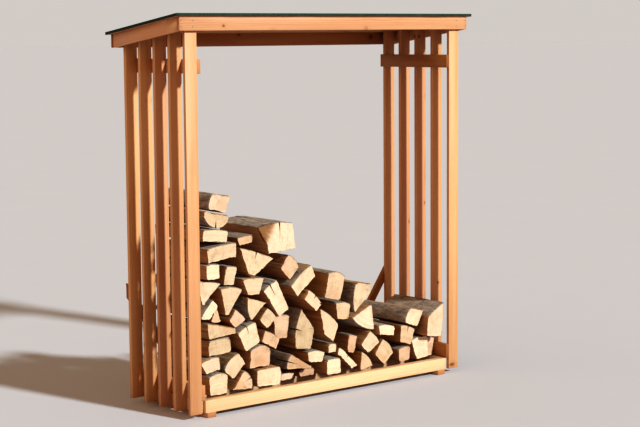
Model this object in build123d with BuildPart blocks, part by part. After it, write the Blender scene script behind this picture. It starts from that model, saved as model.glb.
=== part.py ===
from build123d import *
import math
import os

# A free-standing garden log store: two side panels of upright fins, a floor on two skids,
# a pent roof that falls to the back, and a stack of split logs.
# Axes: X across the front, Y from front to back, Z up, in millimetres.

# Boards of the side panels
fin_width = 53.0
fin_thickness = 15.0
fins_per_side = 5
width_over_fins = 1394.0
rail_thickness = 16.0
lower_rail_height = 57.0
lower_rail_lift = 51.5
upper_rail_height = 54.0
upper_rail_drop = 210.0

# Floor
skid_height = 20.0
skid_width = 41.0
skid_inset = 97.5
beam_height = 48.0
beam_depth = 37.0
bearer_setback = 15.0

# Roof
eaves_height = 1494.5
roof_pitch = 7.8
fascia_height = 53.0
fascia_thickness = 15.0
fascia_overhang = 33.0
fascia_rear_gap = 20.0
deck_thickness = 9.0
deck_boards = 6
deck_joint = 1.0
deck_front_overhang = 7.5
deck_side_overhang = 20.0
deck_rear_overhang = 7.5
felt_thickness = 2.0
felt_lip = 11.0

# Back braces, nailed across the back of the rear fins and the rear floor beam
brace_width = 34.0
brace_thickness = 15.0
brace_angle = 55.0
brace_top_height = 383.0

# Split logs
log_setback = 31.0
log_length = 330.0
log_rear_clearance = 58.0
log_width = 100.0
seat_gap = 0.3
side_gap = 0.5
bark_step = 2.5
slide_step = 5.0
slide_weight = 0.5
roll_step = 6.0
roll_weight = 0.8

# Places that follow from the sizes above
panel_depth = log_setback + log_length + log_rear_clearance
fin_pitch = (panel_depth - fin_thickness) / (fins_per_side - 1)
half_width = width_over_fins / 2
inner_half = half_width - fin_width
stack_half = inner_half - rail_thickness
roof_slope = math.tan(math.radians(roof_pitch))
deck_drop = deck_thickness / math.cos(math.radians(roof_pitch))
felt_drop = felt_thickness / math.cos(math.radians(roof_pitch))
roof_half = half_width + fascia_overhang + deck_side_overhang
fascia_run = panel_depth + fascia_rear_gap
front_edge = -fascia_thickness - deck_front_overhang - felt_thickness
rear_edge = fascia_run + fascia_thickness + deck_rear_overhang + felt_thickness
y_shift = -(front_edge + rear_edge) / 2
base = skid_height

os.makedirs("parts", exist_ok=True)


def soffit(y):
    """Height of the deck's underside at a distance y behind the front fins' faces."""
    return base + eaves_height - roof_slope * y


roof_plane = Plane(
    origin=(0, y_shift, soffit(0)),
    x_dir=(1, 0, 0),
    z_dir=(0, math.sin(math.radians(roof_pitch)), math.cos(math.radians(roof_pitch))),
)


def save(piece, name):
    """Label a finished sub-part and write it to its own file."""
    piece.part.label = name
    export_step(piece.part, f"parts/{name}.step")


def board(x_low, x_high, y_low, y_high, z_low, z_high):
    """A square-cut board between two corners, with y measured from the front fins' faces."""
    with BuildPart() as piece:
        with BuildSketch(Plane.XY.offset(z_low)):
            with Locations(((x_low + x_high) / 2, (y_low + y_high) / 2 + y_shift)):
                Rectangle(x_high - x_low, y_high - y_low)
        extrude(amount=z_high - z_low)
    return piece


def board_to_roof(x_low, x_high, y_low, y_high, z_low):
    """A board whose top is planed to the fall of the roof, so that the deck lies flat on it."""
    with BuildPart() as piece:
        with BuildSketch(Plane.XY.offset(z_low)):
            with Locations(((x_low + x_high) / 2, (y_low + y_high) / 2 + y_shift)):
                Rectangle(x_high - x_low, y_high - y_low)
        extrude(amount=soffit(y_low) - z_low)
        split(bisect_by=roof_plane, keep=Keep.BOTTOM)
    return piece


# Side panels: fins with their wide faces to the front, held by two rails on their inner edges
for side, sign in (("left", -1), ("right", 1)):
    outer = sign * half_width
    inner = sign * inner_half
    rail_face = sign * stack_half
    x_fin = sorted((outer, inner))
    x_rail = sorted((inner, rail_face))
    for i in range(fins_per_side):
        y_fin = i * fin_pitch
        fin = board_to_roof(*x_fin, y_fin, y_fin + fin_thickness, base)
        save(fin, f"fin_{side}_{i + 1}")
    z_low = base + lower_rail_lift
    save(board(*x_rail, 0, panel_depth, z_low, z_low + lower_rail_height), f"lower_rail_{side}")
    z_low = base + eaves_height - upper_rail_drop
    save(board(*x_rail, 0, panel_depth, z_low, z_low + upper_rail_height), f"upper_rail_{side}")
    bearer = board(*x_rail, bearer_setback, panel_depth, base, base + beam_height)
    save(bearer, f"floor_bearer_{side}")
    x_skid = sign * (half_width - skid_inset)
    skid = board(x_skid - skid_width / 2, x_skid + skid_width / 2, 0, panel_depth, 0, base)
    save(skid, f"skid_{side}")

# Floor beams between the bearers
middle = (panel_depth - beam_depth) / 2
for place, y_beam in (("front", 0), ("middle", middle), ("rear", panel_depth - beam_depth)):
    beam = board(-stack_half, stack_half, y_beam, y_beam + beam_depth, base, base + beam_height)
    save(beam, f"floor_beam_{place}")

# Fascias round the tops of the fins
fascia_half = half_width + fascia_overhang
z_low = soffit(-fascia_thickness) - fascia_height
save(board_to_roof(-fascia_half, fascia_half, -fascia_thickness, 0, z_low), "fascia_front")
z_low = soffit(fascia_run) - fascia_height
rear_fascia = board_to_roof(-fascia_half, fascia_half, fascia_run, fascia_run + fascia_thickness, z_low)
save(rear_fascia, "fascia_rear")
for side, sign in (("left", -1), ("right", 1)):
    x_low = min(sign * fascia_half, sign * (fascia_half - fascia_thickness))
    with BuildPart() as fascia:
        with BuildSketch(Plane.YZ.offset(x_low)):
            with BuildLine():
                Polyline(
                    (y_shift, soffit(0)),
                    (y_shift + fascia_run, soffit(fascia_run)),
                    (y_shift + fascia_run, soffit(fascia_run) - fascia_height),
                    (y_shift, soffit(0) - fascia_height),
                    close=True,
                )
            make_face()
        extrude(amount=fascia_thickness)
    save(fascia, f"fascia_{side}")

# Roof deck: boards laid from side to side, with the felt over them
deck_front = front_edge + felt_thickness
deck_rear = rear_edge - felt_thickness
deck_half = roof_half - felt_thickness
board_cover = (deck_rear - deck_front + deck_joint) / deck_boards
with BuildPart() as deck:
    for i in range(deck_boards):
        y_low = deck_front + i * board_cover
        y_high = y_low + board_cover - deck_joint
        with BuildSketch(Plane.YZ.offset(-deck_half)):
            with BuildLine():
                Polyline(
                    (y_shift + y_low, soffit(y_low)),
                    (y_shift + y_high, soffit(y_high)),
                    (y_shift + y_high, soffit(y_high) + deck_drop),
                    (y_shift + y_low, soffit(y_low) + deck_drop),
                    close=True,
                )
            make_face()
        extrude(amount=2 * deck_half)
save(deck, "roof_deck")

with BuildPart() as felt:
    with BuildSketch(Plane.YZ.offset(-roof_half)):
        with BuildLine():
            Polyline(
                (y_shift + front_edge, soffit(front_edge) + deck_drop + felt_drop),
                (y_shift + rear_edge, soffit(rear_edge) + deck_drop + felt_drop),
                (y_shift + rear_edge, soffit(rear_edge) + deck_drop + felt_drop - felt_lip),
                (y_shift + front_edge, soffit(front_edge) + deck_drop + felt_drop - felt_lip),
                close=True,
            )
        make_face()
    extrude(amount=2 * roof_half)
    with BuildSketch(Plane.YZ.offset(-deck_half)):
        with BuildLine():
            Polyline(
                (y_shift + deck_front, soffit(deck_front) + deck_drop),
                (y_shift + deck_rear, soffit(deck_rear) + deck_drop),
                (y_shift + deck_rear, soffit(deck_rear) - felt_lip),
                (y_shift + deck_front, soffit(deck_front) - felt_lip),
                close=True,
            )
        make_face()
    extrude(amount=2 * deck_half, mode=Mode.SUBTRACT)
save(felt, "roof_felt")

# Back braces: from the outer edge of each rear fin down to the foot of the rear floor beam
lean = math.radians(brace_angle)
for side, sign in (("left", -1), ("right", 1)):
    x_top = sign * half_width
    with BuildPart() as brace:
        with BuildSketch(Plane.XZ.offset(-(y_shift + panel_depth))):
            with BuildLine():
                z_edge = base + brace_top_height + fin_width * math.tan(lean)
                z_under = z_edge - brace_width / math.cos(lean)
                Polyline(
                    (x_top, z_edge),
                    (x_top - sign * (z_edge - base) / math.tan(lean), base),
                    (x_top - sign * (z_under - base) / math.tan(lean), base),
                    (x_top, z_under),
                    close=True,
                )
            make_face()
        extrude(amount=-brace_thickness)
    save(brace, f"back_brace_{side}")


# Split logs. Each is a piece cleft from a round: a bark side that bulges by its crown, two
# radial faces that run in to a narrower heart side, and skew where the heart side sits off
# centre. It starts at its place with the bark side facing along its turn, slides and rolls
# a little to where it lies lowest, and so rests on the floor or on the logs below.
def bark_circle(bark, crown):
    """Radius of the round that a log was cleft from, and half the angle of its bark side."""
    radius = ((bark / 2) ** 2 + crown**2) / (2 * crown)
    half_angle = math.asin(bark / 2 / radius)
    if crown > radius:
        half_angle = math.pi - half_angle
    return radius, half_angle


def turned(points, turn):
    """Points drawn with the bark side up, turned so that it faces along the turn."""
    angle = math.radians(turn - 90)
    return [
        (u * math.cos(angle) - v * math.sin(angle), u * math.sin(angle) + v * math.cos(angle))
        for u, v in points
    ]


def corners(bark, heart, skew, thickness, turn):
    """The square corners of a log's end: bark side left and right, heart side right and left."""
    drawn = [(-bark / 2, thickness / 2), (bark / 2, thickness / 2), (skew + heart / 2, -thickness / 2)]
    if heart > 0:
        drawn.append((skew - heart / 2, -thickness / 2))
    return turned(drawn, turn)


def bark_line(bark, thickness, crown, turn):
    """Points along the bulge of the bark side, from left to right, in short steps."""
    radius, half_angle = bark_circle(bark, crown)
    steps = 2 * math.ceil(math.degrees(half_angle) / bark_step)
    drawn = []
    for i in range(steps + 1):
        angle = half_angle * (2 * i / steps - 1)
        rise = thickness / 2 + crown - radius + radius * math.cos(angle)
        drawn.append((radius * math.sin(angle), rise))
    return turned(drawn, turn)


def edge_height(points, x, top):
    """Height of an outline's top or bottom edge at x, or None where x lies outside it."""
    best = None
    for (x1, z1), (x2, z2) in zip(points, points[1:] + points[:1]):
        if min(x1, x2) <= x <= max(x1, x2):
            heights = (z1, z2)
            if abs(x2 - x1) > 1e-9:
                heights = (z1 + (z2 - z1) * (x - x1) / (x2 - x1),)
            for z in heights:
                if best is None or (z > best if top else z < best):
                    best = z
    return best


def landing(points, placed):
    """How far up an outline must move to rest just clear of the floor and the placed logs."""
    lift = floor_top + seat_gap - min(z for x, z in points)
    x_low = min(x for x, z in points) - side_gap
    x_high = max(x for x, z in points) + side_gap
    for other in placed:
        if max(x for x, z in other) < x_low or min(x for x, z in other) > x_high:
            continue
        for shift in (-side_gap, 0, side_gap):
            for x in [x for x, z in points] + [x - shift for x, z in other]:
                under = edge_height(points, x, False)
                over = edge_height(other, x + shift, True)
                if under is not None and over is not None:
                    lift = max(lift, over - under + seat_gap)
    return lift


def settle(log, placed):
    """Where a log comes to rest: its slide, its lift and its turn, lowest place first."""
    place, bark, heart, skew, thickness, crown, turn, inset = log
    rests = []
    for roll in (0, -roll_step, roll_step):
        bulge = bark_line(bark, thickness, crown, turn + roll)
        shape = bulge + corners(bark, heart, skew, thickness, turn + roll)[2:]
        x_low = min(x for x, z in shape)
        x_high = max(x for x, z in shape)
        reach = (x_high - x_low) / 2 + side_gap
        middle = (min(z for x, z in shape) + max(z for x, z in shape)) / 2
        for slide in range(-2, 3):
            x = place - stack_half + slide * slide_step
            x = min(max(x, -stack_half + reach), stack_half - reach) - (x_low + x_high) / 2
            level = [(px + x, pz) for px, pz in shape]
            lift = landing(level, placed)
            effort = abs(slide * slide_step) * slide_weight + abs(roll) * roll_weight
            rests.append((lift + middle + effort, x, lift, turn + roll, level))
    return min(rests)


def in_millimetres(row):
    """A log's row with its lengths, given in hundredths of log_width, in millimetres."""
    place, bark, heart, skew, thickness, crown, turn, inset = row
    lengths = (place, bark, heart, skew, thickness, crown, inset)
    *sizes, inset = [length * log_width / 100 for length in lengths]
    return (*sizes, turn, inset)


# Each log: place from the left rail, bark side, heart side, skew, thickness, crown, turn and
# how far its end is set back from the foremost ones. Lowest course first.
courses = {
    "logs_course_1": (
        (85, 94, 84, 0, 76, 14, 92, 0),
        (206, 92, 0, -6, 90, 20, 25, 8),
        (335, 80, 76, 0, 108, 8, 0, 0),
        (455, 95, 60, 0, 28, 8, 90, 50),
        (562, 84, 70, 0, 30, 8, 92, 50),
        (664, 86, 92, 0, 66, 4, 88, 0),
        (842, 112, 0, 0, 64, 12, 45, 0),
        (742, 132, 104, 0, 32, 6, 51, 10),
        (945, 92, 76, 0, 80, 12, 42, 6),
        (1150, 98, 70, 0, 88, 10, 95, 4),
        (1056, 76, 64, 0, 60, 8, 95, 12),
        (1228, 50, 40, 0, 82, 6, 90, 36),
    ),
    "logs_course_2": (
        (60, 97, 66, 0, 52, 8, 100, 4),
        (186, 104, 92, 0, 62, 14, 130, 20),
        (284, 106, 110, 0, 72, 22, 84, 5),
        (492, 72, 12, 0, 138, 8, 156, 0),
        (594, 94, 72, 0, 44, 10, 85, 15),
        (682, 58, 52, 0, 38, 4, 92, 18),
        (774, 54, 40, 0, 76, 5, 76, 25),
        (862, 92, 64, 0, 74, 8, 40, 10),
        (1078, 88, 70, 0, 74, 8, 72, 5),
        (944, 104, 92, 0, 42, 8, 82, 0),
        (1206, 154, 90, 30, 92, 4, 0, -24),
        (1110, 76, 88, 24, 76, 8, 146, 0),
    ),
    "logs_course_3": (
        (104, 104, 100, 0, 64, 6, 95, 6),
        (345, 97, 92, 0, 52, 6, 62, 10),
        (243, 106, 88, 0, 88, 10, 110, 0),
        (430, 84, 60, 0, 96, 8, 85, 55),
        (530, 176, 88, -44, 80, 14, 175, 5),
        (650, 134, 70, 48, 80, 8, 52, 0),
        (829, 160, 10, 0, 90, 14, 250, 0),
    ),
    "logs_course_4": (
        (116, 74, 24, -26, 134, 6, 180, 0),
        (184, 78, 48, 0, 56, 4, 47, 10),
        (349, 68, 64, 0, 66, 4, 45, 30),
        (288, 106, 0, 0, 98, 8, 190, 15),
        (106, 54, 10, 0, 62, 5, 265, 40),
        (66, 108, 70, 10, 42, 3, 128, 5),
    ),
    "logs_course_5": (
        (390, 90, 66, 0, 136, 6, 118, 20),
        (572, 98, 84, 0, 50, 6, 45, 0),
        (716, 82, 64, 0, 70, 8, 85, 5),
        (814, 136, 42, 33, 88, 14, 180, 0),
        (676, 108, 98, 0, 104, 15, 76, 0),
        (172, 128, 22, 0, 106, 10, 88, 0),
    ),
    "logs_course_6": (
        (62, 118, 10, -20, 92, 5, 82, 5),
        (258, 116, 58, 0, 68, 6, 82, 10),
        (537, 146, 130, 0, 64, 6, 125, 15),
        (476, 98, 84, 0, 68, 14, 50, 25),
    ),
    "logs_course_7": (
        (70, 76, 72, 0, 60, 4, 90, 0),
        (160, 64, 60, 0, 76, 4, 84, 10),
        (283, 174, 34, 0, 92, 8, 71, 0),
    ),
    "logs_course_8": (
        (114, 158, 150, 0, 60, 5, 95, 0),
        (394, 140, 132, 0, 106, 14, 96, -6),
        (252, 92, 74, 0, 36, 4, 95, 40),
    ),
    "logs_course_9": (
        (84, 128, 126, 0, 48, 6, 84, 4),
        (88, 124, 120, 0, 20, 42, 257, 0),
        (104, 72, 76, 10, 76, 12, 160, -4),
    ),
}
floor_top = base + beam_height
placed = []
for name, logs in courses.items():
    with BuildPart() as course:
        for row in logs:
            log = in_millimetres(row)
            place, bark, heart, skew, thickness, crown, turn, inset = log
            rank, x, lift, turn, level = settle(log, placed)
            placed.append([(px, pz + lift) for px, pz in level])
            ends = [(px + x, pz + lift) for px, pz in corners(bark, heart, skew, thickness, turn)]
            [peak] = turned([(0, thickness / 2 + crown)], turn)
            with BuildSketch(Plane.XZ.offset(-(y_shift + log_setback + inset))):
                with BuildLine():
                    ThreePointArc(ends[0], (peak[0] + x, peak[1] + lift), ends[1])
                    Polyline(*ends[1:], ends[0])
                make_face()
            extrude(amount=-log_length)
    save(course, name)
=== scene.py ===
import math

import bmesh
import bpy
import numpy as np
from mathutils import Matrix, Vector


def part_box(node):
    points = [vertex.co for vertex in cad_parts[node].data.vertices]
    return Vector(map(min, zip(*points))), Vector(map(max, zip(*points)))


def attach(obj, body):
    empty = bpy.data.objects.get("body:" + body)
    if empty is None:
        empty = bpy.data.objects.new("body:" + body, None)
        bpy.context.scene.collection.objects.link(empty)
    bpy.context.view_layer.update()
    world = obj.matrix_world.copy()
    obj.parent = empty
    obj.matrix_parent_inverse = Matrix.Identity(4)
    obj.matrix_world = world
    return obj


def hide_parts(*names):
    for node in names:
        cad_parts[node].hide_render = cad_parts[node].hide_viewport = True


# A garden log store in planed, dip-treated softwood: two side panels of upright fins, a
# floor on two skids, a felted roof that falls to the back, and a stack of split firewood.
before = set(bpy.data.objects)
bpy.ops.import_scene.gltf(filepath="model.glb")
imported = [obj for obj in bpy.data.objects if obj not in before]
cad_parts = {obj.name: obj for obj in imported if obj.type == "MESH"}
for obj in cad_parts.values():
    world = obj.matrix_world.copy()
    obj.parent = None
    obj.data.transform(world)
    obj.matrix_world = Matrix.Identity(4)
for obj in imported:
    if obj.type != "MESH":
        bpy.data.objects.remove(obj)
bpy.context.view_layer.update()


# Floor frame: two skids on the ground, three beams across them and a bearer at each side.
# Sawn and planed softwood, dipped in a honey-brown preservative, nailed through the fins.
class Wire:
    """A value in the finish being made. Arithmetic on it adds Math nodes, with a plain
    number on either side, so that 1 - mask works."""

    def __init__(self, finish, socket):
        self.finish = finish
        self.socket = socket

    def __add__(self, other):
        return self.finish.math("ADD", self, other)

    def __radd__(self, other):
        return self.finish.math("ADD", other, self)

    def __sub__(self, other):
        return self.finish.math("SUBTRACT", self, other)

    def __rsub__(self, other):
        return self.finish.math("SUBTRACT", other, self)

    def __mul__(self, other):
        return self.finish.math("MULTIPLY", self, other)

    def __rmul__(self, other):
        return self.finish.math("MULTIPLY", other, self)

    def __truediv__(self, other):
        return self.finish.math("DIVIDE", self, other)

    def __rtruediv__(self, other):
        return self.finish.math("DIVIDE", other, self)

    def __pow__(self, other):
        return self.finish.math("POWER", self, other)

    def __rpow__(self, other):
        return self.finish.math("POWER", other, self)


class Finish:
    """A material of this object, built node by node on one Principled shader, or the sky."""

    def __init__(self, name, kind="materials", shader="Principled BSDF"):
        self.material = getattr(bpy.data, kind).new(name)
        self.material.use_nodes = True
        self.tree = self.material.node_tree
        self.shader = self.tree.nodes[shader]

    def feed(self, sockets, values):
        """Links a wire to its socket, and sets any other value on the socket itself."""
        for key, value in values.items():
            if isinstance(value, Wire):
                self.tree.links.new(value.socket, sockets[key])
            else:
                sockets[key].default_value = value

    def node(self, kind, settings, inputs, output=0):
        """Adds a node, makes its settings first, then feeds its sockets."""
        made = self.tree.nodes.new("ShaderNode" + kind)
        for key, value in settings.items():
            if key == "stops":
                for element, (place, colour) in zip(made.color_ramp.elements, value):
                    element.position = place
                    element.color = (*colour, 1.0)
            else:
                setattr(made, key, value)
        self.feed(made.inputs, inputs)
        return Wire(self, made.outputs[output])

    def math(self, operation, *values):
        """One Math node's answer for its one or two values."""
        return self.node("Math", {"operation": operation}, dict(enumerate(values)))

    def wave(self, angle):
        """A cosine wave from 0 to 1."""
        return self.math("COSINE", angle) * 0.5 + 0.5

    def place(self):
        """The place on the store, in metres."""
        return self.node("TexCoord", {}, {}, "Object")

    def attribute(self, name, output="Fac"):
        """What a mesh says of each place under a name: a number, or a vector."""
        return self.node("Attribute", {"attribute_name": name}, {}, output)

    def parts(self, vector):
        """The three numbers of a vector."""
        split = self.node("SeparateXYZ", {}, {0: vector})
        return [Wire(self, socket) for socket in split.socket.node.outputs]

    def vector(self, x, y, z):
        """Three numbers as one place."""
        return self.node("CombineXYZ", {}, {0: x, 1: y, 2: z})

    def noise(self, vector, scale, detail=3.0, roughness=0.55):
        """Soft noise around 0.5 at a place times scale, finer by one octave per detail."""
        inputs = {"Vector": vector, "Scale": scale, "Detail": detail, "Roughness": roughness}
        return self.node("TexNoise", {}, inputs)

    def step(self, value, low, high):
        """0 below low, 1 above high and a smooth rise between them."""
        settings = {"interpolation_type": "SMOOTHSTEP"}
        return self.node("MapRange", settings, {0: value, 1: low, 2: high})

    def blend(self, factor, first, second):
        """The second colour over the first, by a factor. A Mix node's sockets 6 and 7 and its
        output 2 are the ones for colours."""
        first, second = [c if isinstance(c, Wire) else (*c, 1.0) for c in (first, second)]
        return self.node("Mix", {"data_type": "RGBA"}, {0: factor, 6: first, 7: second}, 2)

    def surface(self, colour, roughness, height=None, depth=0.0, metallic=0.0, gloss=0.5):
        """Feeds the shader; height is a 0 to 1 relief, depth metres deep."""
        feeds = {"Base Color": colour, "Roughness": roughness, "Metallic": metallic}
        feeds["Specular IOR Level"] = gloss
        if height is not None:
            relief = {"Height": height, "Distance": depth, "Strength": 1.0}
            feeds["Normal"] = self.node("Bump", {}, relief)
        self.feed(self.shader.inputs, feeds)
        return self.material


def softwood(name, early, late, knot_colour, knotty=0.12):
    """Planed softwood. Attribute grain is a place in the trunk that the board was cut from:
    metres along it, then two across from the pith. Rings are shells of equal distance from
    the pith, pushed aside round knots. A knot is a radial cone in a cell of the trunk, and
    knotty is the share of the cells that have one. Section and half are the place in the
    board and its half sizes, for worn edges and soaked ends."""
    cells_along, cells_round = 4.2, 1.3  # to a metre along the trunk, to a radian round it
    ring_width = 0.0034
    worn_width = 0.0019
    soaked_length = 0.022
    wood = Finish(name)
    along, across, depth = wood.parts(wood.attribute("grain", "Vector"))
    wide, thick, run = wood.parts(wood.attribute("section", "Vector"))
    half_wide, half_thick, half_run = wood.parts(wood.attribute("half", "Vector"))
    tone = wood.attribute("tone")
    end = wood.attribute("end_grain")
    distance = wood.math("SQRT", across * across + depth * depth)
    turn = wood.math("ARCTAN2", depth, across)

    cells = wood.vector(along * cells_along, turn * cells_round, 0.0)
    knots = wood.node("TexVoronoi", {"voronoi_dimensions": "2D"}, {"Vector": cells, "Scale": 1.0})
    outputs = knots.socket.node.outputs
    knot_along, knot_turn = wood.parts(Wire(wood, outputs["Position"]))[:2]
    chance, size = wood.parts(Wire(wood, outputs["Color"]))[:2]
    past = along - knot_along / cells_along
    swing = (turn - knot_turn / cells_round) * distance
    wobble = wood.noise(wood.vector(along * 60.0, turn * 9.0, distance * 60.0), 1.0, 2.0)
    away = wood.math("SQRT", past * past * 0.45 + swing * swing) + (wobble - 0.5) * 0.003
    present = wood.step(chance, 1.0 - knotty, 1.02 - knotty)
    knot_radius = 0.003 + size * 0.005
    knot = (1.0 - wood.step(away / knot_radius, 0.75, 1.1)) * present
    halo = (1.0 - wood.step(away / knot_radius, 0.6, 3.4)) * present

    drift = wood.noise(wood.vector(along * 1.1, across * 9.0, depth * 9.0), 1.0, 3.0)
    ripple = wood.noise(wood.vector(along * 9.0, across * 60.0, depth * 60.0), 1.0, 2.0)
    shell = distance + (drift - 0.5) * 0.022 + (ripple - 0.5) * 0.0012 + halo * 0.0045
    late_ring = wood.wave(shell * (2.0 * math.pi / ring_width)) ** 2.2
    broad = wood.noise(wood.vector(shell * 34.0, along * 0.8, 0.0), 1.0, 2.0)
    fibre = wood.noise(wood.vector(along * 26.0, across * 900.0, depth * 900.0), 1.0, 2.0)
    stain = wood.noise(wood.vector(along * 3.0, across * 22.0, depth * 22.0), 1.0, 4.0)

    shade = late_ring * 0.36 + wood.step(broad, 0.35, 0.68) * 0.36 + (fibre - 0.5) * 0.5
    colour = wood.blend(shade, early, late)
    colour = wood.blend(wood.step(stain, 0.48, 0.85) * 0.34, colour, late)
    colour = wood.blend(halo * 0.4, colour, late)
    heart = wood.blend(wood.wave(away * 5200.0) * 0.4, knot_colour, late)
    colour = wood.blend(knot * 0.9, colour, heart)

    to_side = half_wide - wood.math("ABSOLUTE", wide)
    to_face = half_thick - wood.math("ABSOLUTE", thick)
    to_edge = wood.math("MAXIMUM", to_side, to_face)
    ragged = (fibre - 0.5) * 0.0022 + (drift - 0.5) * 0.002
    worn = 1.0 - wood.step(to_edge + ragged, 0.0002, worn_width)
    worn_colour = wood.blend(0.5, early, (0.86, 0.62, 0.38))
    colour = wood.blend(worn * 0.4 * (1.0 - end), colour, worn_colour)
    to_end = half_run - wood.math("ABSOLUTE", run)
    soaked = 1.0 - wood.step(to_end + (stain - 0.5) * 0.03, 0.0, soaked_length)
    colour = wood.blend(soaked * 0.3 + end * 0.3, colour, late)
    settings = {"Hue": 0.5 + (tone - 0.4) * 0.012, "Value": 0.92 + tone * 0.18, "Color": colour}
    colour = wood.node("HueSaturation", {}, settings)
    roughness = 0.46 - late_ring * 0.06 + stain * 0.14 + end * 0.2 + worn * 0.12
    height = late_ring * 0.35 + fibre * 0.35 + knot * 0.4
    return wood.surface(colour, roughness, height, depth=0.00035, gloss=0.3)


def solid_mesh(name, points, faces, material, **attributes):
    """Puts arrays into a mesh with its faces turned outwards, whose object sits at the
    origin and rides on the store."""
    mesh = bpy.data.meshes.new(name)
    mesh.from_pydata(points.tolist(), [], faces)
    for key, values in attributes.items():
        kind, field = ("FLOAT_VECTOR", "vector") if values.ndim == 2 else ("FLOAT", "value")
        stored = mesh.attributes.new(key, kind, "POINT")
        stored.data.foreach_set(field, np.ascontiguousarray(values, np.float32).ravel())
    shell = bmesh.new()
    shell.from_mesh(mesh)
    bmesh.ops.recalc_face_normals(shell, faces=shell.faces)
    shell.to_mesh(mesh)
    shell.free()
    mesh.polygons.foreach_set("use_smooth", np.full(len(mesh.polygons), True))
    mesh.materials.append(material)
    piece = bpy.data.objects.new(name, mesh)
    bpy.context.scene.collection.objects.link(piece)
    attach(piece, "root")
    return piece


def bands(rings):
    """Quads between neighbours in a row of closed rings of point numbers."""
    quads = []
    for a, b in zip(rings, rings[1:]):
        quads.append(np.stack([a, np.roll(a, -1), np.roll(b, -1), b], -1))
    return np.concatenate(quads)


def eased_profile(corners, ease):
    """A board's cross-section: each corner gives way to three points of a small round, whose
    middle lies about 1 - sqrt(1/2) of the ease from both sides."""
    to_middle = 0.29
    corners = np.asarray(corners, float)
    to_last = np.roll(corners, 1, 0) - corners
    to_next = np.roll(corners, -1, 0) - corners
    to_last *= ease / np.linalg.norm(to_last, axis=1)[:, None]
    to_next *= ease / np.linalg.norm(to_next, axis=1)[:, None]
    middle = corners + (to_last + to_next) * to_middle
    return np.stack([corners + to_last, middle, corners + to_next], 1).reshape(-1, 2)


def carried_board(name, node, material, corners, axes, start, stop, trunk, origin=(0, 0, 0)):
    """A board: its eased profile carried along a straight path and cut square or at a slope.
    A point is origin + profile x, y on the first two axes + its run on the third. The run
    goes from start to stop, each a number or a function that gives one for every profile
    point. Trunk is the seed of the board's place in the trunk."""
    ease = 0.0014
    pith_reach = (0.055, 0.04)
    outer = eased_profile(corners, ease)
    middle = outer.mean(0)
    half = np.abs(outer - middle).max(0)
    inner = middle + (outer - middle) * (half - ease) / half
    first, last = [
        end(outer) if callable(end) else np.full(len(outer), end) for end in (start, stop)
    ]
    runs = np.stack([first, first + ease, last - ease, last])
    rings = np.stack([inner, outer, outer, inner])
    across, up, along = axes
    points = np.asarray(origin, float) + rings[..., :1] * across + rings[..., 1:] * up
    points = points + runs[..., None] * along
    rows, count = runs.shape
    index = np.arange(rows * count).reshape(rows, count)
    faces = bands(index).tolist() + [index[0, ::-1].tolist(), index[-1].tolist()]
    chance = np.random.default_rng(trunk)
    pith = middle + chance.uniform(0.4, 1.0, 2) * pith_reach * chance.choice((-1, 1), 2)
    shift = chance.uniform(0, 50)
    grain = np.stack([runs + shift, rings[..., 0] - pith[0], rings[..., 1] - pith[1]], -1)
    centre = (runs.min() + runs.max()) / 2
    section = np.stack([rings[..., 0] - middle[0], rings[..., 1] - middle[1], runs - centre], -1)
    piece = solid_mesh(
        name, points.reshape(-1, 3), faces, material,
        grain=grain.reshape(-1, 3),
        section=section.reshape(-1, 3),
        half=np.tile((*half, runs.max() - centre), (rows * count, 1)),
        end_grain=np.repeat([1.0, 0.0, 0.0, 1.0], count),
        tone=np.full(rows * count, chance.uniform(0, 1)),
    )
    piece.data.set_sharp_from_angle(angle=math.radians(50))
    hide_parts(node)


X, Y, Z = np.eye(3)


def rectangle(low, high, first, second):
    """Corners of the cross-section that a node's box shows on two of its axes."""
    return [
        (low[first], low[second]),
        (high[first], low[second]),
        (high[first], high[second]),
        (low[first], high[second]),
    ]


def straight_board(node, material, trunk, along=1):
    """A board cut square that fills its node's box. It lies along axis 1, from front to
    back, or along axis 0, from left to right."""
    low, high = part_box(node)
    across = 1 - along
    carried_board(
        f"{node}_wood", node, material, rectangle(low, high, across, 2),
        ((X, Y)[across], Z, (X, Y)[along]), low[along], high[along], trunk,
    )


beam_wood = softwood(
    "floor_softwood", (0.67, 0.395, 0.235), (0.52, 0.255, 0.13), (0.18, 0.07, 0.03)
)
skid_wood = softwood("skid_softwood", (0.52, 0.25, 0.12), (0.34, 0.125, 0.05), (0.12, 0.04, 0.018))
for seed, side in enumerate(("left", "right")):
    straight_board(f"skid_{side}", skid_wood, 20 + seed)
    straight_board(f"floor_bearer_{side}", beam_wood, 30 + seed)
for seed, place in enumerate(("front", "middle", "rear")):
    straight_board(f"floor_beam_{place}", beam_wood, 41 + seed, along=0)

# Side panels: five planed fins a side, wide face to the front, nailed to two rails. The
# fins' tops are cut to the fall of the roof. The right rails have a darker copy of the
# wood, which is painted shade for the deep shade that they lie in.
front_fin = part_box("fin_left_1")
rear_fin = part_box("fin_left_5")
roof_slope = (front_fin[1].z - rear_fin[1].z) / (rear_fin[0].y - front_fin[0].y)


def soffit(y):
    """Height of the roof boards' underside at a distance y from front to back."""
    return front_fin[1].z - roof_slope * (y - front_fin[0].y)


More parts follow.
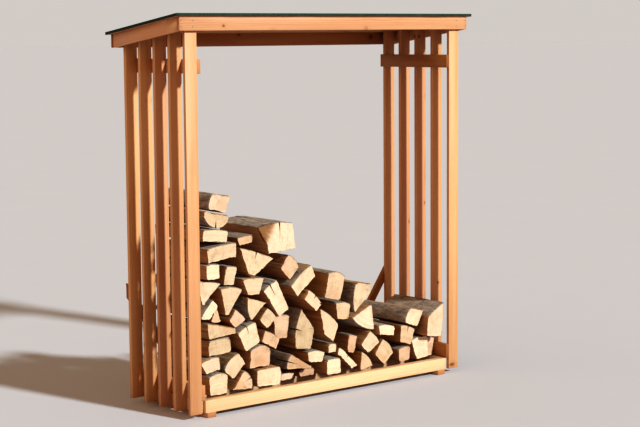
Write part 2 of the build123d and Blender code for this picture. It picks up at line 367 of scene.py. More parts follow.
fin_wood = softwood("fin_softwood", (0.63, 0.31, 0.158), (0.42, 0.16, 0.064), (0.14, 0.045, 0.02))
# Painted shade: a darker copy of the planed wood, for boards that lie in deep shade.
shade_painted_wood = softwood(
    "shade_painted_softwood", (0.37, 0.13, 0.042), (0.22, 0.058, 0.015), (0.09, 0.026, 0.008)
)
for side in ("left", "right"):
    on_right = side == "right"
    for i in range(1, 6):
        node = f"fin_{side}_{i}"
        low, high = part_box(node)
        carried_board(
            f"{node}_wood", node, fin_wood, rectangle(low, high, 0, 1), (X, Y, Z),
            low.z, lambda section: soffit(section[:, 1]), 60 + i - 10 * on_right,
        )
    for seed, height in enumerate(("lower", "upper")):
        # The right rails take the darker copy of the wood: painted shade.
        wood = shade_painted_wood if on_right else fin_wood
        straight_board(f"{height}_rail_{side}", wood, 80 + seed + 10 * on_right)

# Fascias: four planed boards round the tops of the fins, nailed to them and to each other,
# with the roof boards on their edges. The rear one lies in deep shade and has the right
# rails' darker wood of painted shade.
fascia_wood = softwood(
    "fascia_softwood", (0.63, 0.31, 0.16), (0.43, 0.165, 0.068), (0.14, 0.045, 0.02)
)
for seed, (place, wood) in enumerate((("front", fascia_wood), ("rear", shade_painted_wood))):
    node = f"fascia_{place}"
    low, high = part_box(node)
    profile = [
        (low.y, low.z), (high.y, low.z), (high.y, soffit(high.y)), (low.y, soffit(low.y)),
    ]
    carried_board(
        f"{node}_wood", node, wood, profile, (Y, Z, X), low.x, high.x, 101 + seed
    )
fascia_height = soffit(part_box("fascia_front")[0].y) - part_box("fascia_front")[0].z
fall = Y - roof_slope * Z
for seed, side in enumerate(("left", "right")):
    node = f"fascia_{side}"
    low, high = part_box(node)
    profile = [(low.x, -fascia_height), (high.x, -fascia_height), (high.x, 0), (low.x, 0)]
    carried_board(
        f"{node}_wood", node, fascia_wood, profile, (X, Z, fall),
        low.y, high.y, 105 + seed, (0, 0, soffit(0)),
    )

# Back braces: a narrow planed batten at each side, nailed across the back of the rear fin
# and the rear beam. Its upper end is cut upright and its lower end level. It lies in the
# same deep shade as the right rails, and has their darker wood of painted shade.
brace_lean = math.radians(55)
brace_width = 0.034
for seed, (side, sign) in enumerate((("left", -1), ("right", 1))):
    node = f"back_brace_{side}"
    low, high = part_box(node)
    down = -sign * math.cos(brace_lean) * X - math.sin(brace_lean) * Z
    across = -sign * math.sin(brace_lean) * X + math.cos(brace_lean) * Z
    outer = high.x if sign > 0 else low.x
    rise = high.z - low.z
    profile = [(0, low.y), (-brace_width, low.y), (-brace_width, high.y), (0, high.y)]
    carried_board(
        f"{node}_wood", node, shade_painted_wood, profile, (across, Y, down),
        lambda section: -section[:, 0] * math.tan(brace_lean),
        lambda section: (rise + section[:, 0] * math.cos(brace_lean)) / math.sin(brace_lean),
        121 + seed, (outer, 0, high.z),
    )

# Nails: round galvanised heads, set nearly flush where boards cross. They hold the rails to
# the fins, the fascias to the front and rear fins and to each other, and the braces.
zinc = Finish("galvanised_nail")
spangle = zinc.noise(zinc.place(), 700.0, 3.0)
dullness = zinc.blend(zinc.step(spangle, 0.35, 0.7), (0.17, 0.12, 0.085), (0.36, 0.30, 0.24))
zinc.surface(dullness, 0.42 + spangle * 0.25, spangle, depth=0.0002, metallic=0.85)


def nail_heads(name, places, facing, radius, rise):
    """Low domes: a ring of points round each place, a slightly smaller ring raised along
    facing, and a point in the middle, raised a little more."""
    sides = 10
    turns = np.arange(sides) * 2 * math.pi / sides
    side_axis = Y if abs(facing[0]) > 0.5 else X
    other_axis = np.cross(facing, side_axis)
    circle = np.cos(turns)[:, None] * side_axis + np.sin(turns)[:, None] * other_axis
    rings = [circle * radius, circle * radius * 0.86 + facing * rise, facing[None] * rise * 1.25]
    head = np.concatenate(rings)
    points = (np.asarray(places, float)[:, None] + head[None]).reshape(-1, 3)
    step = np.arange(sides)
    wall = bands([step, step + sides])
    crown = np.stack([step + sides, np.roll(step, -1) + sides, np.full(sides, 2 * sides)], -1)
    shift = (np.arange(len(places)) * len(head))[:, None, None]
    faces = (wall[None] + shift).reshape(-1, 4).tolist()
    faces += (crown[None] + shift).reshape(-1, 3).tolist()
    solid_mesh(name, points, faces, zinc.material)


nail_radius = 0.0024
nail_rise = 0.0005
nail_stagger = 0.0015
for side, sign in (("left", -1), ("right", 1)):
    for height in ("lower", "upper"):
        low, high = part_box(f"{height}_rail_{side}")
        face = high.x if sign < 0 else low.x
        places = []
        for i in range(1, 6):
            fin_low, fin_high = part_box(f"fin_{side}_{i}")
            y = (fin_low.y + fin_high.y) / 2 + nail_stagger * (i % 3 - 1)
            for share in (0.28, 0.74):
                places.append((face, y, low.z + share * (high.z - low.z)))
        nail_heads(f"nails_{height}_rail_{side}", places, -sign * X, nail_radius, nail_rise)
for place, outward in (("front", -Y), ("rear", Y)):
    low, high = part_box(f"fascia_{place}")
    face = low.y if place == "front" else high.y
    places = []
    for side in ("left", "right"):
        fin_low, fin_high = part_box(f"fin_{side}_1")
        side_low, side_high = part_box(f"fascia_{side}")
        xs = [(side_low.x + side_high.x) / 2]
        if place == "front":
            xs.append((fin_low.x + fin_high.x) / 2)
        zs = [low.z + share * fascia_height for share in (0.28, 0.7)]
        places += [(x, face, z) for x in xs for z in zs]
    nail_heads(f"nails_fascia_{place}", places, outward, nail_radius, nail_rise)
beam_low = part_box("floor_beam_rear")[0]
half_upright = 0.5 * brace_width / math.cos(brace_lean)
for side, sign in (("left", -1), ("right", 1)):
    low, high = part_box(f"back_brace_{side}")
    outer = high.x if sign > 0 else low.x
    places = []
    for reach in (0.014, 0.037):
        drop = reach * math.tan(brace_lean) + half_upright
        places.append((outer - sign * reach, high.y, high.z - drop))
    for rise in (0.014, 0.036):
        inward = (high.z - beam_low.z - rise - half_upright) / math.tan(brace_lean)
        places.append((outer - sign * inward, high.y, beam_low.z + rise))
    nail_heads(f"nails_brace_{side}", places, Y, nail_radius, nail_rise)

# Roof boards: thin sawn boards laid from side to side on the fascias and the fins' tops, a
# hair apart, and covered by the felt.
deck_wood = softwood(
    "deck_softwood", (0.52, 0.25, 0.13), (0.34, 0.125, 0.055), (0.12, 0.04, 0.018), 0.3
)
low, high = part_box("roof_deck")
deck_boards = 6
deck_joint = 0.001
deck_rise = high.z - soffit(low.y)
cover = (high.y - low.y + deck_joint) / deck_boards
for i in range(deck_boards):
    front = low.y + i * cover
    rear = front + cover - deck_joint
    profile = [
        (front, soffit(front)), (rear, soffit(rear)),
        (rear, soffit(rear) + deck_rise), (front, soffit(front) + deck_rise),
    ]
    carried_board(
        f"roof_board_{i + 1}", "roof_deck", deck_wood, profile, (Y, Z, X),
        low.x, high.x, 140 + i,
    )

# Roof felt: one strip of green mineral felt over the boards, its edges turned down over
# them and held by rows of clout nails.
felt = Finish("mineral_felt")
grit = felt.noise(felt.place(), 1400.0, 2.0)
speckle = felt.noise(felt.place(), 520.0, 2.0, 0.8)
cloud = felt.noise(felt.place(), 7.0, 5.0, 0.6)
x, y, z = felt.parts(felt.place())
streak = felt.noise(felt.vector(x * 26.0, y * 2.2, z * 2.2), 1.0, 3.0)
colour = felt.blend(felt.step(speckle, 0.36, 0.64), (0.010, 0.018, 0.013), (0.045, 0.068, 0.050))
colour = felt.blend(felt.step(grit, 0.55, 0.75) * 0.4, colour, (0.17, 0.215, 0.17))
colour = felt.blend(felt.step(cloud, 0.42, 0.7) * 0.4, colour, (0.03, 0.038, 0.026))
colour = felt.blend(felt.step(streak, 0.5, 0.8) * 0.25, colour, (0.07, 0.092, 0.07))
height = grit * 0.6 + speckle * 0.4 + cloud
felt.surface(colour, 0.82 + speckle * 0.12, height, depth=0.0011, gloss=0.12)

# The sheet's top is a grid over the roof that dips by slow waves and over each joint of the
# boards, but not at its edge. The edge is then carried out and down in six steps, measured
# in folds, and flutters a little. Solidify gives the sheet its thickness.
felt_thickness = 0.0018
fold = 0.0024
fold_steps = ((0.45, 0.12), (0.8, 0.45), (0.95, 1.0), (0.86, 2.4), (0.88, 3.7), (0.94, 4.55))
columns, rows = 121, 41
flat_edge = 0.05
low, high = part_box("roof_felt")
half_x = high.x - fold
front_y = low.y + fold
rear_y = high.y - fold
felt_top = high.z - soffit(low.y)
gx, gy = np.meshgrid(np.linspace(-half_x, half_x, columns), np.linspace(front_y, rear_y, rows))
to_edge = np.minimum(half_x - np.abs(gx), np.minimum(gy - front_y, rear_y - gy))
wave = 0.5 + 0.25 * np.sin(gx * 11.0 + 1.3) + 0.25 * np.sin(gx * 4.3 + gy * 9.0)
over_joint = (0.5 + 0.5 * np.cos((gy - low.y) / cover * 2 * math.pi)) ** 6
dip = 0.0002 + np.clip(to_edge / flat_edge, 0, 1) * (0.0007 * wave + 0.0005 * over_joint)
top = np.stack([gx, gy, soffit(gy) + felt_top - 0.0004 - dip * 0.8], -1).reshape(-1, 3)
index = np.arange(columns * rows).reshape(rows, columns)
cells = np.stack([index[:-1, :-1], index[:-1, 1:], index[1:, 1:], index[1:, :-1]], -1)
edge = np.concatenate([index[0, :-1], index[:-1, -1], index[-1, :0:-1], index[:0:-1, 0]])
rim = top[edge]
slack = 1e-6
on_side = np.abs(rim[:, 0]) > half_x - slack
on_front, on_rear = rim[:, 1] < front_y + slack, rim[:, 1] > rear_y - slack
outward = np.stack([np.sign(rim[:, 0]) * on_side, on_rear * 1.0 - on_front, rim[:, 2] * 0], -1)
length = np.cumsum(np.linalg.norm(np.roll(rim, -1, 0) - rim, axis=1))
flutter = 0.5 + 0.5 * np.sin(length * 23.0) * np.sin(length * 9.1 + 2.0)
skirt = []
for out, down in fold_steps:
    spread = (out * fold - 0.0004 * flutter * (down > 2))[:, None] * outward
    drop = (down * fold * (1 - 0.05 * flutter))[:, None] * Z
    skirt.append(rim + spread - drop)
count = len(edge)
chain = [edge] + [columns * rows + i * count + np.arange(count) for i in range(len(skirt))]
faces = cells.reshape(-1, 4).tolist() + bands(chain).tolist()
sheet = solid_mesh("roof_felt_sheet", np.concatenate([top] + skirt), faces, felt.material)
skin = sheet.modifiers.new("thickness", "SOLIDIFY")
skin.thickness = felt_thickness
skin.offset = -1.0
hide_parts("roof_felt")

clout_radius = 0.0045
clout_rise = 0.0009
clout_sink = 0.0014
clout_inset = 0.022
clout_scatter = 0.004
xs = np.linspace(low.x + clout_inset, high.x - clout_inset, 12)
ys = np.linspace(low.y + clout_inset, high.y - clout_inset, 5)
clouts = [(x, y) for x in xs for y in (ys[0], ys[-1])]
clouts += [(x, y) for x in (xs[0], xs[-1]) for y in ys[1:-1]]
chance = np.random.default_rng(5)
clouts = np.array(clouts) + chance.uniform(-clout_scatter, clout_scatter, (len(clouts), 2))
heights = soffit(clouts[:, 1]) + felt_top - clout_sink
roof_up = np.array([0.0, roof_slope, 1.0]) / math.hypot(roof_slope, 1.0)
places = np.column_stack([clouts, heights])
nail_heads("felt_clout_nails", places, roof_up, clout_radius, clout_rise)

# Firewood: hardwood rounds sawn to a third of a metre and cleft. A log has two sawn ends
# with rings round the pith, torn split faces, and one side of smooth grey-brown bark.
firewood = Finish("split_firewood")

# Attribute round is a place in the round, from its pith. Kind is 1 on an end, 1 on bark, and
# the bark's radius. Nature is the log's tone, warmth and age, pushed darker and redder on a
# torn corner, partly painted shade. Marks are how deep in a drying crack a place is, how
# peeled its bark is, and the heading of the saw.
across, along, depth = firewood.parts(firewood.attribute("round", "Vector"))
kind_end, kind_bark, bark_radius = firewood.parts(firewood.attribute("kind", "Vector"))
tone, warmth, age = firewood.parts(firewood.attribute("nature", "Vector"))
crack, peeled, saw_turn = firewood.parts(firewood.attribute("marks", "Vector"))
distance = firewood.math("SQRT", across * across + depth * depth)
turn = firewood.math("ARCTAN2", depth, across)
is_end = firewood.step(kind_end, 0.45, 0.55)
is_bark = firewood.step(kind_bark, 0.45, 0.55)


def log_noise(crosswise, lengthwise, detail, roughness=0.55):
    """Noise in a log, with one scale across it and one along it."""
    place = firewood.vector(across * crosswise, along * lengthwise, depth * crosswise)
    return firewood.noise(place, 1.0, detail, roughness)


drift = log_noise(14.0, 3.0, 3.0)
shell = distance + (drift - 0.5) * 0.012
ring_width = 0.0022 + warmth * 0.0016
ring = firewood.wave(shell / ring_width * (2.0 * math.pi))
years = firewood.noise(firewood.vector(shell * 190.0, tone * 30.0, 0.0), 1.0, 2.0)
rays = firewood.noise(firewood.vector(turn * 42.0, shell * 16.0, along * 3.0), 1.0, 2.0)
pores = log_noise(1500.0, 1500.0, 2.0)
fibre = log_noise(420.0, 9.0, 3.0)
strand = log_noise(95.0, 5.0, 4.0)
patch = log_noise(26.0, 7.0, 4.0)
grime = log_noise(60.0, 60.0, 5.0, 0.7)

sawn = firewood.blend(warmth, (0.73, 0.52, 0.345), (0.69, 0.385, 0.25))
late_wood = ring * 0.2 + firewood.step(years, 0.4, 0.66) * 0.3
sawn = firewood.blend(late_wood, sawn, (0.54, 0.31, 0.165))
sawn = firewood.blend(firewood.step(rays, 0.58, 0.8) * 0.35, sawn, (0.78, 0.56, 0.385))
heart = 1.0 - firewood.step(shell / bark_radius, 0.2, 0.55)
sawn = firewood.blend(heart * (0.15 + warmth * 0.55), sawn, (0.55, 0.27, 0.14))
saw = across * firewood.math("COSINE", saw_turn) + depth * firewood.math("SINE", saw_turn)
cut = firewood.noise(firewood.vector(saw * 520.0, tone * 9.0, drift * 3.0), 1.0, 2.0)
sawn = firewood.blend(firewood.step(cut, 0.5, 0.72) * 0.2, sawn, (0.50, 0.30, 0.18))
weathered = firewood.step(patch, 0.45, 0.75) * (0.2 + 0.5 * age)
sawn = firewood.blend(weathered, sawn, (0.44, 0.255, 0.14))
sawn = firewood.blend(firewood.step(grime, 0.54, 0.72) * 0.3, sawn, (0.37, 0.21, 0.115))
hairline = firewood.noise(firewood.vector(turn * 30.0, tone * 40.0, shell * 5.0), 1.0, 1.0)
hairline = 1.0 - firewood.step(firewood.math("ABSOLUTE", hairline - 0.5), 0.0, 0.012)
hairline = hairline * firewood.step(drift, 0.5, 0.6)
sawn = firewood.blend(hairline * 0.55, sawn, (0.22, 0.12, 0.06))

split = firewood.blend(warmth, (0.47, 0.225, 0.085), (0.42, 0.185, 0.085))
split = firewood.blend(firewood.step(strand, 0.36, 0.66) * 0.6, split, (0.27, 0.105, 0.038))
split = firewood.blend(firewood.step(fibre, 0.48, 0.78) * 0.4, split, (0.56, 0.34, 0.17))
split = firewood.blend(firewood.step(years, 0.45, 0.7) * 0.3, split, (0.24, 0.095, 0.035))
split = firewood.blend(firewood.step(grime, 0.5, 0.72) * 0.3 * age, split, (0.19, 0.095, 0.045))

plate = log_noise(70.0, 26.0, 5.0, 0.65)
lichen = log_noise(30.0, 30.0, 4.0)
lenticel = firewood.noise(firewood.vector(turn * 9.0, along * 150.0, 0.0), 1.0, 3.0, 0.6)
lenticel = firewood.step(lenticel, 0.6, 0.7)
fissure = firewood.noise(firewood.vector(turn * 26.0, along * 11.0, 0.0), 1.0, 4.0, 0.6)
unfissured = firewood.step(fissure, 0.34, 0.44)
bark = firewood.blend(firewood.step(plate, 0.28, 0.74), (0.21, 0.142, 0.108), (0.43, 0.325, 0.255))
bark = firewood.blend(firewood.step(lichen, 0.5, 0.8) * 0.35, bark, (0.46, 0.385, 0.32))
bark = firewood.blend(lenticel * 0.4, bark, (0.10, 0.07, 0.055))
bark = firewood.blend((1.0 - unfissured) * 0.6, bark, (0.08, 0.055, 0.042))
flaked = firewood.step(peeled + (plate - 0.5) * 0.35, 0.6, 0.64)
bast = firewood.blend(firewood.step(strand, 0.35, 0.7), (0.46, 0.26, 0.12), (0.27, 0.13, 0.06))
bark = firewood.blend(flaked, bark, bast)

rim_inside, rim_outside = 0.0046, 0.003  # metres in from the bark
rim_edge = distance + (strand - 0.5) * 0.003
rim = firewood.step(rim_edge, bark_radius - rim_inside, bark_radius - rim_outside)
rim_colour = firewood.blend(strand, (0.24, 0.125, 0.06), (0.12, 0.065, 0.038))
colour = firewood.blend(is_end, split, sawn)
colour = firewood.blend(rim * 0.85, colour, rim_colour)
colour = firewood.blend(is_bark, colour, bark)
# Painted shade: the inside of a drying crack is painted nearly black.
colour = firewood.blend(firewood.step(crack, 0.25, 0.9), colour, (0.03, 0.013, 0.006))
settings = {"Saturation": 1.07 - tone * 0.16, "Value": 0.81 + tone * 0.26, "Color": colour}
colour = firewood.node("HueSaturation", {}, settings)
relief_end = cut * 0.35 + ring * 0.2 + pores * 0.25 - hairline * 0.5 + patch * 0.5
relief_split = strand * 0.9 + fibre * 0.6
relief_bark = plate * 0.8 + unfissured * 0.8 - flaked * 0.9 - lenticel * 0.3
relief_side = relief_split * (1.0 - is_bark) + relief_bark * is_bark
relief = relief_end * is_end + relief_side * (1.0 - is_end)
roughness = 0.72 + is_bark * 0.14 + pores * 0.1 - is_end * 0.06
firewood.surface(colour, roughness, relief, depth=0.0016)


def smooth_noise(seed, places):
    """A sum of twelve plane waves of random heading, length and start, from 0 to 1."""
    waves = 12
    chance = np.random.default_rng(seed)
    heading = chance.normal(0, 1, (waves, places.shape[-1]))
    start = chance.uniform(0, 2 * math.pi, waves)
    height = np.sin(places @ heading.T + start).mean(-1)
    return 0.5 + 0.5 * np.clip(height * 2.2, -1, 1)


def log_outlines(node):
    """Each log of a course, from left to right: the corners of its end in order round it,
    and where its two ends lie from front to back. Corners belong to one log where triangles
    join them, so each takes the lowest number among its neighbours until nothing changes."""
    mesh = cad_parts[node].data
    places = np.array([v.co[:] for v in mesh.vertices]).round(5)
    unique, same = np.unique(places, axis=0, return_inverse=True)
    group = np.arange(len(unique))
    corners = same.ravel()[np.array([face.vertices[:3] for face in mesh.polygons])]
    settled = False
    while not settled:
        lowest = group[corners].min(1)
        before = group.copy()
        for column in range(3):
            np.minimum.at(group, corners[:, column], lowest)
        group = group[group]
        settled = np.array_equal(before, group)
    outlines = []
    for label in np.unique(group):
        own = unique[group == label]
        front, rear = own[:, 1].min(), own[:, 1].max()
        face = own[own[:, 1] < front + 1e-4][:, [0, 2]]
        middle = face.mean(0)
        order = np.argsort(np.arctan2(face[:, 1] - middle[1], face[:, 0] - middle[0]))
        outlines.append((middle[0], face[order], front, rear))
    return [outline[1:] for outline in sorted(outlines, key=lambda outline: outline[0])]


def bark_run(outline):
    """Which edges of an outline are bark: neighbours of equal length at a slight turn, and
    the middle of the circle through their ends."""
    edges = np.roll(outline, -1, 0) - outline
    lengths = np.linalg.norm(edges, axis=1)
    after = np.roll(edges, -1, 0)
    cross = edges[:, 0] * after[:, 1] - edges[:, 1] * after[:, 0]
    bend = np.degrees(np.arctan2(cross, (edges * after).sum(1)))
    alike = (np.abs(lengths / np.roll(lengths, -1) - 1) < 0.02) & (np.abs(bend) < 28)
    on_bark = alike | np.roll(alike, 1)
    picked = outline[on_bark | np.roll(on_bark, 1)]
    a, b, c = picked[0], picked[len(picked) // 2], picked[-1]
    system = 2 * np.array([b - a, c - a])
    centre = np.linalg.solve(system, [b @ b - a @ a, c @ c - a @ a])
    return on_bark, centre


def log_ring(outline, on_bark, heading, crack_width, cracked):
    """Points round a log, evenly along each edge of its outline. A drying crack has five
    more, where a line from the middle at the heading meets the outline. Gives each point's
    place and outward normal, whether it is on bark, the turn of the corner that it is on or
    beside, and how deep in the crack it is, from 0 to 1."""
    spacing = 0.0038
    edges = np.roll(outline, -1, 0) - outline
    lengths = np.linalg.norm(edges, axis=1)
    starts = np.concatenate([[0], np.cumsum(lengths)])
    pieces = np.maximum(1, np.round(lengths / spacing).astype(int))
    at = np.concatenate([starts[i] + lengths[i] * np.arange(n) / n for i, n in enumerate(pieces)])
    groove = np.zeros(len(at))
    if cracked:
        fine = np.linspace(0, starts[-1], 721)
        closed = np.concatenate([outline, outline[:1]])
        walk = np.stack([np.interp(fine, starts, closed[:, k]) for k in (0, 1)], 1)
        walk = walk - outline.mean(0)
        swing = np.angle(np.exp(1j * (np.arctan2(walk[:, 1], walk[:, 0]) - heading)))
        crack_at = fine[np.abs(swing).argmin()]
        crack_points = crack_at + crack_width * np.array([-1.6, -0.8, 0.0, 0.8, 1.6])
        clear = np.abs(at - crack_at) > 2.6 * crack_width
        keep = clear | np.isin(at, starts[:-1])
        at = np.unique(np.concatenate([at[keep], crack_points % starts[-1]]))
        groove = np.clip(1.0 - np.abs(at - crack_at) / (1.6 * crack_width), 0, 1) ** 0.6
        groove[np.abs(at - crack_at) > 1.55 * crack_width] = 0
    owner = np.clip(np.searchsorted(starts, at, "right") - 1, 0, len(outline) - 1)
    share = (at - starts[owner]) / lengths[owner]
    ring = outline[owner] + edges[owner] * share[:, None]
    normal = (np.stack([edges[:, 1], -edges[:, 0]], 1) / lengths[:, None])[owner]
    bark_point = on_bark[owner].astype(float)
    at_corner = share < 1e-6
    bark_point[at_corner] *= np.roll(on_bark, 1)[owner[at_corner]]
    heads = np.arctan2(edges[:, 1], edges[:, 0])
    turning = np.abs(np.angle(np.exp(1j * (heads - np.roll(heads, 1)))))
    sharp = np.where(at_corner, np.clip(turning[owner], 0, 1.3), 0.0)
    sharp = np.maximum(sharp, np.maximum(np.roll(sharp, 1), np.roll(sharp, -1)) * 0.42)
    return ring, normal, bark_point, sharp, groove


stations = 32  # rings of points along a log
end_shares = np.array([0.93, 0.8, 0.64, 0.46, 0.26])  # sizes of the rings on a sawn end


def sawn_end(edge, side, groove, seed):
    """One sawn end: smaller and smaller copies of its edge and a hub, moved into the log,
    which is the way of side, where the saw left it rough, a splinter tore out or the crack
    runs. Gives the points, and how deep in the crack they are."""
    hub = edge.mean(0)
    rings = hub + (edge - hub) * end_shares[:, None, None]
    rough = smooth_noise(seed + 5400, rings * 110.0)
    torn = smooth_noise(seed + 8100, rings * 34.0)
    tear = np.clip((end_shares - 0.2) / 0.3, 0, 1)[:, None] * groove[None]
    rings[..., 1] += side * (0.0009 * rough + 0.0022 * torn ** 3 + 0.014 * tear)
    points = np.concatenate([rings.reshape(-1, 3), hub[None] + (0, side * 0.0006, 0)])
    return points, np.append(tear.ravel(), 0.0)


def log_faces(count):
    """Quads from ring to ring along the body and over each end, with count points to a ring,
    and triangles from each end's last ring to its hub."""
    index = np.arange(stations * count).reshape(stations, count)
    near = np.roll(index, -1, 1)
    quads = [np.stack([index[:-1], index[1:], near[1:], near[:-1]], -1).reshape(-1, 4)]
    triangles = []
    total = stations * count
    for end in (0, stations - 1):
        hub = total + len(end_shares) * count
        chain = [index[end], *np.arange(total, hub).reshape(-1, count)]
        quads.append(bands(chain))
        last = chain[-1]
        triangles.append(np.stack([last, np.roll(last, -1), np.full(count, hub)], -1))
        total = hub + 1
    return np.concatenate(quads), np.concatenate(triangles)


def cleft_log(outline, front, rear, seed, cracked, barked_top, torn_corner):
    """One log. Its ring of points is carried from end to end in short steps; split faces
    sink by long streaks of noise and a slow twist, bark by its plates, and corners are
    chipped. The ends are sawn a little out of square. A crack is a wedge from the bark
    towards the middle of each end, which runs on along the log and fades out. A log with a
    barked top has bark on it too. A torn corner, given by the heading from the log's middle
    to it and the distance at which it begins, leans back to the rear."""
    crowding = 0.6  # of the rings of points towards the ends
    chipped_length, bruised_length = 0.012, 0.0025  # from an end
    deepest_crack, crack_mouth = 0.016, 0.008
    end_gap = 0.0006
    bared_width, bared_length, torn_lean = 0.009, 0.03, 1.2
    chance = np.random.default_rng(seed)
    on_bark, pith = bark_run(outline)
    outward = outline.mean(0) - pith
    heading = math.atan2(outward[1], outward[0]) + chance.uniform(-0.3, 0.3)
    crack_width = chance.uniform(1.5, 2.6) * 0.001
    ring, normal, bark_point, sharp, groove = log_ring(
        outline, on_bark, heading, crack_width, cracked
    )
    count = len(ring)
    middle = ring.mean(0)
    inward = middle - ring
    reach = np.linalg.norm(inward, axis=1)
    inward /= reach[:, None]
    sink_way = np.where(sharp[:, None] > 0.3, inward, -normal)

    run = np.linspace(0, 1, stations)
    run = run - crowding * np.sin(2 * math.pi * run) / (2 * math.pi)
    length = rear - front
    stops = (front + run * length)[:, None]
    place = np.stack(np.broadcast_arrays(ring[:, 0], stops, ring[:, 1]), -1)
    near_end = np.minimum(run, 1 - run) * length
    chipped = np.exp(-near_end / chipped_length)[:, None]
    bruised = np.exp(-near_end / bruised_length)[:, None]

    coarse = smooth_noise(seed, place * (55.0, 7.0, 55.0))
    streaks = smooth_noise(seed + 900, place * (230.0, 12.0, 230.0))
    fibres = smooth_noise(seed + 1800, place * (620.0, 30.0, 620.0))
    twist = smooth_noise(seed + 2700, place * (12.0, 9.0, 12.0))
    plates = smooth_noise(seed + 3600, place * (150.0, 60.0, 150.0))
    chips = smooth_noise(seed + 4500, place * (30.0, 40.0, 30.0))
    peel = smooth_noise(seed + 6300, place * (26.0, 14.0, 26.0))
    ragged = smooth_noise(seed + 7200, place * (170.0, 20.0, 170.0))
    split_sink = 0.0005 + 0.0036 * coarse ** 2 + 0.0026 * streaks ** 2
    split_sink = split_sink + 0.001 * fibres + 0.0022 * twist
    peeled = np.clip((peel - 0.45) * chance.uniform(0.2, 2.4) + 0.3, 0, 1)
    flaked = np.clip((peeled - 0.55) * 8, 0, 1)
    bark_sink = 0.0003 + 0.0014 * plates ** 2 + 0.0012 * coarse + 0.0018 * flaked
    sink = np.where(bark_point[None] > 0.5, bark_sink, split_sink)
    sink = sink + sharp[None] * (0.001 + (0.0036 + 0.0045 * chipped) * chips ** 2)
    sink = sink + chipped * 0.0016 * ragged ** 2 + 0.0012 * bruised
    sink = np.minimum(sink, reach * 0.4)

    crack_depth = np.minimum(deepest_crack, 0.45 * reach.min())
    fade = np.clip(1 - near_end / chance.uniform(0.07, 0.15), 0, 1)[:, None]
    body = ring[None] + sink_way[None] * sink[..., None]
    body = body + (inward * groove[:, None])[None] * (crack_depth * fade ** 0.7)[..., None]
    tilt = chance.uniform(-0.15, 0.15, (2, 2))
    allowance = end_gap + np.abs(tilt) @ np.abs(ring - middle).max(0)
    offset = body - middle
    front_y = front + allowance[0] + offset @ tilt[0]
    rear_y = rear - allowance[1] - offset @ tilt[1]
    y = front_y + (rear_y - front_y) * run[:, None]
    y[0] += groove * crack_mouth
    y[-1] -= groove * crack_mouth
    body = np.stack([body[..., 0], y, body[..., 1]], -1)

    points = [body.reshape(-1, 3)]
    cracks = [(groove[None] * np.clip(fade * 3, 0, 1)).ravel()]
    for end, side in ((0, 1.0), (stations - 1, -1.0)):
        edge = body[end].copy()
        edge[:, [0, 2]] -= inward * (groove * crack_depth * 0.9)[:, None]
        edge[:, 1] -= side * groove * crack_mouth
        end_points, end_cracks = sawn_end(edge, side, groove, seed + end)
        points.append(end_points)
        cracks.append(end_cracks)
    points = np.concatenate(points)
    total = len(points)
    capped = np.zeros(total - stations * count)
    on_rim = np.isin(np.repeat(np.arange(stations), count), (0, stations - 1))
    kind_end = np.concatenate([np.where(on_rim, 0.5, 0.0), capped + 1.0])
    radius = np.linalg.norm(ring[bark_point > 0.5] - pith, axis=1).mean()
    if barked_top:
        bark_point = np.maximum(bark_point, normal[:, 1] > 0.6)
    kind_bark = np.concatenate([np.tile(bark_point, stations), capped])
    rounds = points - (pith[0], front - 3.0 * seed, pith[1])
    nature = np.tile(chance.uniform(0, 1, 3) ** (1.0, 1.8, 1.0), (total, 1))
    peels = np.concatenate([peeled.ravel(), capped])
    saw_turns = np.full(total, chance.uniform(0, math.pi))

    # A torn corner's end is painted darker and redder: partly the torn wood's own colour, partly
    # painted shade on the facet.
    beyond = (points[:, [0, 2]] - middle) @ torn_corner[:2] - torn_corner[2]
    beyond = np.clip(beyond, 0, None)
    bared_and_shaded = np.clip(beyond / bared_width, 0, 1) * (points[:, 1] < front + bared_length)
    nature += bared_and_shaded[:, None] * ((-1.2, 1.0, 3.0) - nature)
    points[:, 1] += torn_lean * beyond * (rear - points[:, 1]) / length
    attributes = {
        "round": rounds,
        "kind": np.stack([kind_end, kind_bark, np.full(total, radius)], 1),
        "nature": nature,
        "marks": np.stack([np.concatenate(cracks), peels, saw_turns], 1),
    }
    return points, log_faces(count), attributes


# Logs that the photograph shows with a crack, with bark on top too, or with a torn corner.
# They are counted from 0, from left to right in each course.
cracked_logs = {
    "logs_course_1": (1, 6), "logs_course_2": (3, 9), "logs_course_3": (1, 4),
    "logs_course_5": (1, 2), "logs_course_7": (2,), "logs_course_8": (2,), "logs_course_9": (1,),
}
barked_tops = {"logs_course_2": (11,)}
torn_corners = {("logs_course_8", 2): (-0.86, 0.5, 0.042)}
whole = (0, 0, 0)
seed = 0
for node in sorted(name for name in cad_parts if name.startswith("logs_course_")):
    all_points, all_faces, gathered, start = [], [], {}, 0
    for order, (outline, front, rear) in enumerate(log_outlines(node)):
        seed += 1
        points, (quads, triangles), attributes = cleft_log(
            outline, front, rear, seed, order in cracked_logs.get(node, ()),
            order in barked_tops.get(node, ()), torn_corners.get((node, order), whole),
        )
        all_points.append(points)
        all_faces += (quads + start).tolist() + (triangles + start).tolist()
        for key, values in attributes.items():
            gathered.setdefault(key, []).append(values)
        start += len(points)
    attributes = {key: np.concatenate(values) for key, values in gathered.items()}
    points = np.concatenate(all_points)
    logs = solid_mesh(f"{node}_split", points, all_faces, firewood.material, **attributes)
    logs.data.set_sharp_from_angle(angle=math.radians(48))
    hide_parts(node)

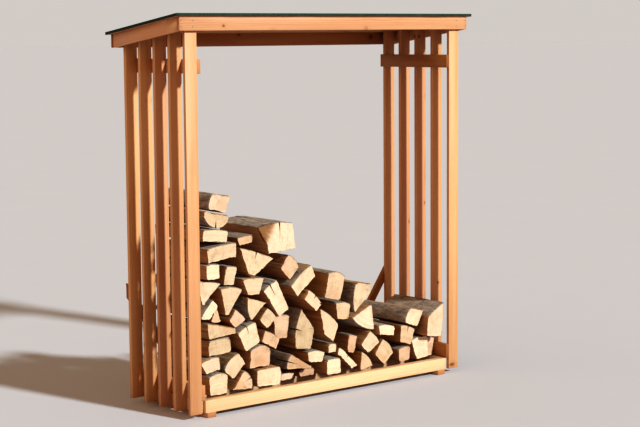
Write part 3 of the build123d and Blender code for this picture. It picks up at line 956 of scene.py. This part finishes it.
# Floor: a plain pale sheet, far larger than the store, that meets an even pale sky. In this
# light its colour shows as the same grey as the sky's.
floor_reach = 200.0
pale = Finish("pale_floor")
mottle = pale.noise(pale.place(), 1.5, 2.0)
pale.surface(pale.blend(mottle, (0.56, 0.507, 0.535), (0.575, 0.522, 0.55)), 0.95, gloss=0.0)
ground = bpy.data.meshes.new("pale_floor")
corners = [(x * floor_reach, y * floor_reach, 0) for x, y in ((-1, -1), (1, -1), (1, 1), (-1, 1))]
ground.from_pydata(corners, [], [(0, 1, 2, 3)])
ground.materials.append(pale.material)
ground_object = bpy.data.objects.new("pale_floor", ground)
bpy.context.scene.collection.objects.link(ground_object)

# Light: a sun lamp from the front right, as low as the sun in the photograph, and a pale
# sky that is brightest near the horizon and at the left. The sky is warm, so that shaded
# wood glows, and the lamp a little cool, so that sunlit wood and the floor stay neutral.
sun = bpy.data.lights.new("key", "SUN")
sun.energy = 4.0
sun.angle = math.radians(4.5)
sun.color = (0.78, 0.95, 0.98)
sun_holder = bpy.data.objects.new("key", sun)
towards_sun = Vector((0.199, -0.860, 0.469))
sun_holder.rotation_euler = towards_sun.to_track_quat("Z", "Y").to_euler()
sun_holder.location = towards_sun * 8.0
bpy.context.scene.collection.objects.link(sun_holder)
sky = Finish("pale_sky", "worlds", "Background")
sideways, _, height = sky.parts(sky.node("TexCoord", {}, {}, "Generated"))
stops = [(0.03, (0.484, 0.456, 0.437)), (0.24, (0.275, 0.225, 0.155))]
glow = sky.node("ValToRGB", {"stops": stops}, {0: height})
at_left = sky.step(height, 0.03, 0.2) * (1.0 - sky.step(sideways, -0.8, -0.1))
glow = sky.blend(at_left, glow, (0.76, 0.60, 0.42))
sky.feed(sky.shader.inputs, {"Color": glow})
bpy.context.scene.world = sky.material
bpy.context.scene.view_settings.view_transform = "Standard"
bpy.context.scene.view_settings.look = "High Contrast"

# Camera: at the photograph's place and with its lens, worked out from the boards' edges in
# it. The heading is from straight back towards the right, and the pitch is downwards.
camera_data = bpy.data.cameras.new("camera")
camera_data.sensor_width = 36.0
camera_data.lens = 92.0
camera = bpy.data.objects.new("camera", camera_data)
heading, pitch, roll = math.radians(39.20), math.radians(6.215), math.radians(-0.442)
ahead = np.array([math.sin(heading), math.cos(heading), 0.0])
forward = ahead * math.cos(pitch) - Z * math.sin(pitch)
level = np.array([math.cos(heading), -math.sin(heading), 0.0])
above = np.cross(level, forward)
right = level * math.cos(roll) + above * math.sin(roll)
upward = above * math.cos(roll) - level * math.sin(roll)
camera_place = Vector((-4.1346, front_fin[0].y - 4.9937, 1.4427))
axes = np.column_stack([right, upward, -forward])
camera.matrix_world = Matrix.Translation(camera_place) @ Matrix(axes.tolist()).to_4x4()
bpy.context.scene.collection.objects.link(camera)
bpy.context.scene.camera = camera
